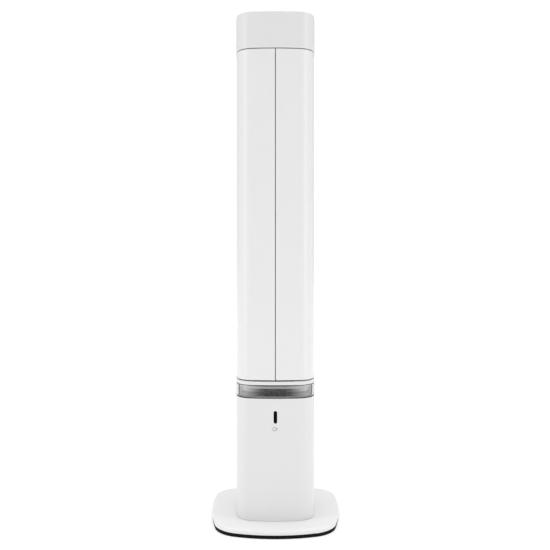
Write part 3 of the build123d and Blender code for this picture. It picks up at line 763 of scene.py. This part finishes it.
class PURIFIER_OT_casing(Operator):
    """Lower casing with its black window, printed symbol and mains inlet"""

    bl_idname = "purifier.casing"
    bl_label = "Lower casing"

    def execute(self, context):
        (_, front, low), (_, _, high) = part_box("lower_housing")
        casing = mesh_piece(
            "lower_casing",
            sweep(tower_loop(), wall_profile(low - mm(0.6), high - mm(1), 0, sizes().wall, mm(0.4))),
            abs_moulded_satin(), "tower", ["lower_housing"],
        )
        window_low, window_high = heights("sensor_window")
        middle = (window_low + window_high) / 2
        half, tall = sizes().window_half, sizes().window_tall
        pill = rounded_box((-half, half), (middle - tall, middle + tall), half * 0.999)
        cut(casing, solid_section(pill, mm(60), mm(90), 0, FRONTWARD), "window_hole")
        socket_z = sum(heights("power_inlet")) / 2
        hole = rounded_box((mm(-12.2), mm(12.2)), (socket_z - mm(7.2), socket_z + mm(7.2)), mm(0.5))
        cut(casing, solid_section(hole, mm(-90), mm(-60), 0, FRONTWARD), "socket_hole")
        inside = mm(0.05)
        lens = rounded_box(
            (inside - half, half - inside), (middle - tall + inside, middle + tall - inside),
            (half - inside) * 0.999,
        )
        mesh_piece(
            "black_window", solid_section(lens, mm(75.8), mm(79.5), mm(0.5), FRONTWARD), pmma_black_window(),
            "tower", ["sensor_window"],
        )
        self.symbol(-front, window_low)
        self.inlet(socket_z)
        return {"FINISHED"}

    def symbol(self, face, window_low):
        """Printed ring with three dots beside it."""
        ring_z = window_low - mm(7.2)
        ring = [((mm(-2), ring_z), sizes().symbol_ring, 2 * pi * k / 48) for k in range(48)]
        proud, sunk, stroke = face + mm(0.03), face - mm(0.1), mm(0.8)
        band = [(0, proud), (stroke, proud), (stroke, sunk), (0, sunk)]

        def ring_build(shape):
            start = len(shape.verts)
            sweep(ring, band)(shape)
            bmesh.ops.transform(shape, matrix=FRONTWARD, verts=list(shape.verts)[start:])

        dots = []
        for x, z, radius in ((2.5, 2.7, 0.8), (3.4, 0.8, 0.8), (2.9, -1.2, 0.9)):
            dots.append(solid_section(disc(mm(x), ring_z + mm(z), mm(radius), 20), sunk, proud, 0, FRONTWARD))
        mesh_piece("printed_symbol", together(ring_build, *dots), ink_grey(), "tower")

    def inlet(self, socket_z):
        """Mains inlet: the dark socket and its two bright pins."""
        soften("power_inlet", pp_moulded_dark(), mm(0.25))
        pins = []
        for x in (mm(-4.3), mm(4.3)):
            outline = disc(x, socket_z, mm(1.25), 20)
            pins.append(solid_section(outline, mm(-77.2), mm(-64), mm(0.9), FRONTWARD))
        mesh_piece("inlet_pins", together(*pins), steel_zinc_plated(), "tower")


class PURIFIER_OT_band(Operator):
    """Clear lit band, what shows inside it, and the white rim above"""

    bl_idname = "purifier.band"
    bl_label = "Clear band"

    def execute(self, context):
        loop = tower_loop()
        self.glass(loop)
        self.shaded_core(loop)
        self.let_light_through(soften("indicator_film", pmma_smoked(), 0))
        soften("light_tray", pp_moulded_grey(), 0)
        self.rim(loop)
        return {"FINISHED"}

    def glass(self, loop):
        """Clear band between near-black strips of painted shade at its lower and upper edges, with a snap rib
        in each corner.
        """
        size = sizes()
        low, high = heights("light_ring")
        glass_low, glass_high = low + mm(0.4), high - size.shade_strip_high
        band = wall_profile(glass_low, glass_high, 0, size.band_wall, mm(0.6))
        glass = mesh_piece(
            "clear_band", sweep(loop, band), polycarbonate_clear(), "tower", ["light_ring"]
        )
        self.let_light_through(glass)
        # Near-black strips of painted shade at the band's lower and upper edges, joined with the dark corner
        # ribs.
        shade_strip_in = size.band_wall
        lower = wall_profile(glass_low - size.shade_strip_low, glass_low, mm(0.25), shade_strip_in, mm(0.2))
        upper = wall_profile(glass_high, high, mm(0.25), shade_strip_in, mm(0.2))
        ribs = self.ribs(loop, glass_low, glass_high)
        mesh_piece(
            "band_shade_and_ribs", together(sweep(loop, lower), sweep(loop, upper), *ribs), dark_strip_painted_shade(),
            "tower",
        )

    def shaded_core(self, loop):
        """Core, its sloping skirt below and the reflector above, inside the band: grey parts with painted
        shade in the middle and painted light towards the corners.
        """
        high = heights("light_ring")[1]
        core_low = heights("light_core")[0]
        cone_low, cone_top = heights("light_reflector")
        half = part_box("lower_housing")[1][0]
        flange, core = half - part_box("light_core")[1][0], mm(12)
        graded = rounded([
            (core, core_low, 0), (core + mm(2.5), core_low, 0), (core + mm(2.5), high, 0),
            (flange, high, 0), (flange, cone_top, mm(0.4)), (core, cone_top, 0),
        ])
        mesh_piece(
            "band_core", sweep(loop, graded), pc_core_painted_shading(), "tower", ["light_core"]
        )
        skirt_in, skirt_low, skirt_high = mm(4.8), core_low + mm(0.2), core_low + mm(8)
        skirt = rounded([
            (skirt_in, skirt_low, mm(0.2)), (core - mm(0.05), skirt_low, 0),
            (core - mm(0.05), skirt_high, 0), (skirt_in, skirt_low + mm(0.8), mm(0.3)),
        ])
        mesh_piece("band_skirt", sweep(loop, skirt), pc_skirt_painted_shading(), "tower")
        cone = rounded([
            (core - mm(0.7), cone_low, mm(0.2)), (core - mm(0.1), cone_low, 0), (core - mm(0.1), cone_top, 0),
            (flange, cone_top, mm(0.2)),
        ])
        mesh_piece(
            "band_reflector", sweep(loop, cone), pc_reflector_painted_shading(),
            "tower", ["light_reflector"],
        )

    def rim(self, loop):
        """White rim over the band, and the near-black strip of painted shade between it and the doors."""
        rim_low, rim_high = heights("rim_ring")
        rim = mesh_piece(
            "white_rim", sweep(loop, wall_profile(rim_low, rim_high, 0, mm(10), mm(0.8))),
            abs_moulded_satin(), "tower", ["rim_ring"],
        )
        # A near-black strip fills the gap under the doors as painted shade.
        front = [s for s in loop if s[1] > mm(100) and abs(s[2] + pi / 2) < 0.5]
        strip = [at(s, mm(1.25)) for s in front] + [at(s, mm(5)) for s in reversed(front)]
        shade_strip_low, shade_strip_high = rim_high - mm(0.1), rim_high + mm(2.2)
        mesh_piece(
            "door_gap_shade", solid_section(strip, shade_strip_low, shade_strip_high, mm(0.1)), dark_strip_painted_shade(),
            "tower",
        )
        for side in (-1, 1):
            pin_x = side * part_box("right_door_pins")[1][0] - side * mm(1.5)
            hole = disc(pin_x, 0, mm(3.1))
            cut(rim, solid_section(hole, rim_low + mm(1.8), rim_high + mm(5), 0), "bush_hole")

    def let_light_through(self, piece):
        """Lets the lights reach what is behind a clear piece."""
        piece.visible_shadow = False
        piece.visible_diffuse = False

    def ribs(self, loop, low, high):
        """Builders of the dark snap rib inside each corner of the band."""
        wall, rib_half = sizes().band_wall, 0.045
        builders = []
        for turn in (sizes().rib_turn, pi - sizes().rib_turn):
            for angle in (turn, -turn):
                centre, radius, _ = min(loop, key=lambda s: abs((s[2] - angle + pi) % (2 * pi) - pi))
                turns = [angle + rib_half * k for k in (-1, 0, 1)]
                outline = [at((centre, radius, t), wall + mm(0.1)) for t in turns]
                outline += [at((centre, radius, t), wall + mm(1.4)) for t in reversed(turns)]
                builders.append(solid_section(outline, low, high, 0))
        return builders


class PURIFIER_OT_doors(Operator):
    """The two tall front doors with their hinge barrels"""

    bl_idname = "purifier.doors"
    bl_label = "Doors"

    def section(self):
        """Right-hand door seen from above: front, corner and side, hinge barrel, inner wall, lip."""
        size = sizes()
        half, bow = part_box("lower_housing")[1][0], size.side_bow
        shift = bow - half
        barrel_r = mm(4)
        hinge_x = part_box("right_door")[1][0] - barrel_r
        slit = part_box("right_door")[0][0]
        corner = corner_centre(((0, shift), bow), ((-shift, 0), bow), size.corner, -pi / 4)
        tangent = atan2(corner[1], corner[0] + shift)
        front_end = -pi / 2 - tangent
        inner = size.door_inset + size.wall
        lip_back, lip = mm(-72), mm(2)
        front_steps, corner_steps, side_steps = 12, 24, 8

        def wall(inset, side_end_y, front_x):
            """Points along the front, round the corner and back along the side."""
            reach, radius = bow - inset, size.corner - inset
            first = -pi / 2 + (front_x / reach)
            points = []
            for k in range(front_steps + 1):
                angle = first + (front_end - first) * k / front_steps
                points.append((reach * cos(angle), shift + reach * sin(angle)))
            for k in range(1, corner_steps + 1):
                angle = front_end + (tangent - front_end) * k / corner_steps
                points.append((corner[0] + radius * cos(angle), corner[1] + radius * sin(angle)))
            last = side_end_y / reach
            for k in range(1, side_steps + 1):
                angle = tangent + (last - tangent) * k / side_steps
                points.append((reach * cos(angle) - shift, reach * sin(angle)))
            return points

        outer_wall = wall(size.door_inset, 0, slit)
        inner_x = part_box("right_door")[1][0] - size.wall
        meet = pi * 2 - atan2(sqrt(barrel_r**2 - (inner_x - hinge_x) ** 2), inner_x - hinge_x)
        meet_y = barrel_r * sin(meet)
        inner_wall = wall(inner, meet_y, slit + lip)
        barrel = []
        for k in range(1, 32):
            angle = meet * k / 32
            barrel.append((hinge_x + barrel_r * cos(angle), barrel_r * sin(angle)))
        corners = [(*outer_wall[0], size.door_edge)] + [(*p, 0) for p in outer_wall[1:] + barrel]
        corners += [(*p, 0) for p in reversed(inner_wall[1:])]
        edge = size.door_edge
        corners += [(*inner_wall[0], edge), (slit + lip, lip_back, edge), (slit, lip_back, edge)]
        return rounded(corners)

    def execute(self, context):
        right = self.section()
        left = [(-x, y) for x, y in reversed(right)]
        material = abs_polished_door()
        low, high = heights("right_door")
        end_round = mm(0.4)  # less than the section's own rounds, so the ends stay whole
        for side, section in (("left", left), ("right", right)):
            mesh_piece(
                side + "_door_skin", solid_section(section, low, high, end_round), material,
                side + "_door", [side + "_door"],
            )
            soften(side + "_door_pins", steel_zinc_plated(), 0)
        return {"FINISHED"}


class PURIFIER_OT_cap(Operator):
    """Cap with its control panel, display and keys"""

    bl_idname = "purifier.cap"
    bl_label = "Cap"

    def execute(self, context):
        low, high = heights("top_cap")
        wall, skin, flat = sizes().wall, mm(3.6), mm(33)
        profile = rounded([
            (flat, high - skin, 0),
            (wall, high - skin, mm(0.8)),
            (wall, low, sizes().shell_edge),
            (0, low, sizes().shell_edge),
            (0, high, sizes().cap_edge),
            (flat, high, 0),
        ])
        cap = mesh_piece(
            "cap_shell", sweep(tower_loop(), profile, closed=False), abs_moulded_satin(),
            "tower", ["top_cap"],
        )
        (x0, y0, panel_low), (x1, y1, _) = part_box("control_panel")
        slack = mm(0.15)
        pocket = rounded_box((x0 - slack, x1 + slack), (y0 - slack, y1 + slack), mm(8))
        cut(cap, solid_section(pocket, panel_low, high + mm(5), 0), "panel_pocket")
        self.key_marks()
        for node in ("power_key", "speed_key", "swing_key"):
            (kx0, ky0, _), (kx1, ky1, _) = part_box(node)
            hole = disc((kx0 + kx1) / 2, (ky0 + ky1) / 2, mm(5.8))
            cut(cap, solid_section(hole, high - skin - mm(2), high, 0), "key_hole")
            soften(node, key_soft_touch(), 0)
        soften("control_panel", panel_gloss(), mm(0.2))
        soften("display_window", pmma_black_window(), mm(0.15))
        return {"FINISHED"}

    def key_marks(self):
        """Printed signs on the keys: a ring and bar, three rising bars, and an arc with two ends."""

        stroke, arc_steps = mm(0.45), 24

        def arc(radius, first, last):
            """Band of an arc between two turns in degrees."""
            turns = [radians(first + (last - first) * k / arc_steps) for k in range(arc_steps + 1)]
            outer, inner = radius + stroke / 2, radius - stroke / 2
            points = [(outer * cos(t), outer * sin(t)) for t in turns]
            return points + [(inner * cos(t), inner * sin(t)) for t in reversed(turns)]

        def upright(x, low, high, half):
            """Upright bar about x."""
            return [(x - half, low), (x + half, low), (x + half, high), (x - half, high)]

        signs = {
            "power_key": [arc(mm(2.4), 125, 415), upright(0, mm(0.6), mm(2.9), stroke / 2)],
            "speed_key": [
                upright(mm(1.5) * k, mm(-2), mm(0.9) * k + mm(0.6), mm(0.4)) for k in (-1, 0, 1)
            ],
            "swing_key": [
                arc(mm(2.6), 200, 340),
                disc(mm(-2.5), mm(-0.6), mm(0.6), 16), disc(mm(2.5), mm(-0.6), mm(0.6), 16),
            ],
        }
        for node, outlines in signs.items():
            (x0, y0, _), (x1, y1, top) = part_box(node)
            cx, cy = (x0 + x1) / 2, (y0 + y1) / 2
            parts = []
            for outline in outlines:
                moved = [(cx + x, cy + y) for x, y in outline]
                parts.append(solid_section(moved, top - mm(0.05), top + mm(0.03), 0))
            mesh_piece(node + "_mark", together(*parts), ink_grey(), node)


class PURIFIER_OT_rear(Operator):
    """Rear shell and the slotted intake cover"""

    bl_idname = "purifier.rear"
    bl_label = "Rear shell and cover"

    def execute(self, context):
        soften("rear_shell", abs_moulded_satin(), mm(0.4))
        (x0, _, z0), (x1, _, z1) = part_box("rear_cover")
        size = sizes()
        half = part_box("lower_housing")[1][0]
        bow, shift = size.side_bow, half - size.side_bow
        columns, rows = 3, 50
        frame_side, frame_end = mm(9), mm(14)
        pitch_x = (x1 - x0 - 2 * frame_side) / columns
        pitch_z = (z1 - z0 - 2 * frame_end) / rows

        def skin(x, z, inset):
            """Point of the bowed cover, inset from its outer face."""
            return (x, shift + sqrt((bow - size.door_inset - inset) ** 2 - x * x), z)

        def slotted(shape):
            """Cells in columns and rows inside a plain border, then the cover's edge."""
            xs = [x0] + [x0 + frame_side + pitch_x * k for k in range(columns + 1)] + [x1]
            zs = [z0] + [z0 + frame_end + pitch_z * k for k in range(rows + 1)] + [z1]
            for i in range(len(xs) - 1):
                for j in range(len(zs) - 1):
                    corners = (xs[i], xs[i + 1], zs[j], zs[j + 1])
                    if 0 < i <= columns and 0 < j <= rows:
                        self.slot_cell(shape, skin, corners)
                    else:
                        self.plain_cell(shape, skin, corners)
            self.rim(shape, skin, xs, zs)

        mesh_piece(
            "rear_grille", slotted, abs_moulded_satin(), "rear_cover", ["rear_cover"], 50
        )
        return {"FINISHED"}

    def outline(self, xs, zs):
        """Points round a rectangle, with the same number of steps between neighbouring values."""

        def stops(values):
            shares = [n / SLOT_STEPS for n in range(SLOT_STEPS)]
            return [a + (b - a) * t for a, b in zip(values, values[1:]) for t in shares] + [values[-1]]

        across, up = stops(xs), stops(zs)
        points = [(x, zs[0]) for x in across[:-1]] + [(xs[-1], z) for z in up[:-1]]
        return points + [(x, zs[-1]) for x in across[:0:-1]] + [(xs[0], z) for z in up[:0:-1]]

    def plain_cell(self, shape, skin, corners):
        """Front and back faces of a cell with no slot, divided to meet its neighbours."""
        x0, x1, z0, z1 = corners
        for inset in (0, sizes().wall):
            border = self.outline((x0, x1), (z0, z1))
            ring = [shape.verts.new(skin(x, z, inset)) for x, z in border]
            middle = shape.verts.new(skin((x0 + x1) / 2, (z0 + z1) / 2, inset))
            for k, vert in enumerate(ring):
                shape.faces.new((vert, ring[(k + 1) % len(ring)], middle))

    def slot_cell(self, shape, skin, corners):
        """A cell with a round-ended slot: faces out to its border, a rounded mouth and the slot's wall."""
        x0, x1, z0, z1 = corners
        cx, cz = (x0 + x1) / 2, (z0 + z1) / 2
        half_long, radius, wall = mm(13.5), mm(2.5), sizes().wall
        height_weight, end_pull = 2.2, 1.6

        def slot_point(x, z, grow):
            """Point of the slot's outline in the direction of a border point. The height counts more
            than the width, so that the points gather at the slot's round ends."""
            angle = atan2((z - cz) * height_weight, x - cx)
            end = copysign(half_long - radius, cos(angle))
            share = min(1, abs(cos(angle)) * end_pull)
            reach = radius + grow
            return (cx + end * share + reach * cos(angle), cz + reach * sin(angle))

        border = self.outline((x0, x1), (z0, z1))
        levels = [(0, mm(0.6)), (mm(0.18), mm(0.18)), (mm(0.6), 0), (wall - mm(0.3), 0), (wall, mm(0.3))]
        rows = [[skin(x, z, 0) for x, z in border]]
        rows += [[skin(*slot_point(x, z, grow), inset) for x, z in border] for inset, grow in levels]
        rows.append([skin(x, z, wall) for x, z in border])
        quads(shape, rows, False, True)

    def rim(self, shape, skin, xs, zs):
        """Edge faces between the cover's front and back."""
        border = self.outline(xs, zs)
        rows = [[skin(x, z, inset) for x, z in border] for inset in (0, sizes().wall)]
        quads(shape, rows, False, True)


class PURIFIER_OT_filter(Operator):
    """Filter frame, pleated sheet and the fine mesh over it"""

    bl_idname = "purifier.filter"
    bl_label = "Filter"

    def execute(self, context):
        soften("filter_frame", abs_inner_white(), mm(0.4))
        soften("filter_media", filter_paper(), 0)
        soften("pre_filter", pp_moulded_dark(), 0)
        (_, y0, z0), (_, y1, z1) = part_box("pre_filter")
        half, wire, pitch = mm(51), mm(0.35), mm(2.6)
        depth = (y0 + mm(0.2), y0 + mm(0.2) + wire)

        def net(shape):
            columns, rows = int(2 * half / pitch), int((z1 - z0) / pitch)
            for i in range(1, columns):
                x = -half + i * 2 * half / columns
                bar(shape, (x - wire / 2, x + wire / 2), depth, (z0 + mm(4), z1 - mm(4)))
            for i in range(2, rows - 1):
                z = z0 + i * (z1 - z0) / rows
                bar(shape, (-half, half), depth, (z - wire / 2, z + wire / 2))

        mesh_piece("pre_filter_net", net, nylon_glass_filled(), "filter")
        return {"FINISHED"}


def bar(shape, x, y, z):
    """Adds a closed bar between limits on each axis."""
    rows = [[(x[0], y[0], h), (x[1], y[0], h), (x[1], y[1], h), (x[0], y[1], h)] for h in z]
    grid = quads(shape, rows, False, True)
    shape.faces.new(grid[0])
    shape.faces.new(grid[1])


class PURIFIER_OT_inside(Operator):
    """Materials of the fan, frames, drive and boards"""

    bl_idname = "purifier.inside"
    bl_label = "Inside"

    def execute(self, context):
        groups = [
            (abs_inner_white(), mm(0.3), ["left_side_frame", "right_side_frame", "outlet_grille"]),
            (abs_inner_white(), 0, ["scroll_wall", "tongue_wall"]),
            (pp_moulded_grey(), 0, ["lower_floor", "lower_deck", "upper_deck", "rear_frame"]),
            (nylon_glass_filled(), 0, ["crossflow_wheel"]),
            (acetal_machined(), 0, ["fixed_gear", "oscillation_pinion"]),
            (bronze_sintered(), 0, ["pivot_bush", "lower_bearing", "hinge_bushes"]),
            (steel_coated_motor(), 0, ["oscillation_motor", "fan_motor", "door_motors"]),
            (steel_zinc_plated(), 0, ["motor_bracket", "electronics_bracket", "tower_screws", "wheel_shaft"]),
            (solder_mask(), 0, ["control_board", "power_supply", "sensor_board", "led_board", "key_board"]),
        ]
        for material, width, nodes in groups:
            for node in nodes:
                soften(node, material, width)
        return {"FINISHED"}


STEPS = (
    PURIFIER_OT_stage,
    PURIFIER_OT_base,
    PURIFIER_OT_casing,
    PURIFIER_OT_band,
    PURIFIER_OT_doors,
    PURIFIER_OT_cap,
    PURIFIER_OT_rear,
    PURIFIER_OT_filter,
    PURIFIER_OT_inside,
)


class PURIFIER_PT_pieces(Panel):
    """Lists the purifier's operators, sizes and colours"""

    bl_label = "Purifier"
    bl_space_type = "VIEW_3D"
    bl_region_type = "UI"
    bl_category = "Purifier"

    def draw(self, context):
        for step in STEPS:
            self.layout.operator(step.bl_idname)
        for group in (context.scene.purifier_sizes, context.scene.purifier_colours):
            for name in group.bl_rna.properties.keys():
                if name not in ("rna_type", "name"):
                    self.layout.prop(group, name)


CLASSES = (PurifierSizes, PurifierColours, *STEPS, PURIFIER_PT_pieces)


def register():
    for cls in CLASSES:
        bpy.utils.register_class(cls)
    bpy.types.Scene.purifier_sizes = PointerProperty(type=PurifierSizes)
    bpy.types.Scene.purifier_colours = PointerProperty(type=PurifierColours)


def unregister():
    del bpy.types.Scene.purifier_colours
    del bpy.types.Scene.purifier_sizes
    for cls in reversed(CLASSES):
        bpy.utils.unregister_class(cls)


def main():
    register()
    for step in STEPS:
        group, name = step.bl_idname.split(".")
        getattr(getattr(bpy.ops, group), name)()


if __name__ == "__main__":
    main()
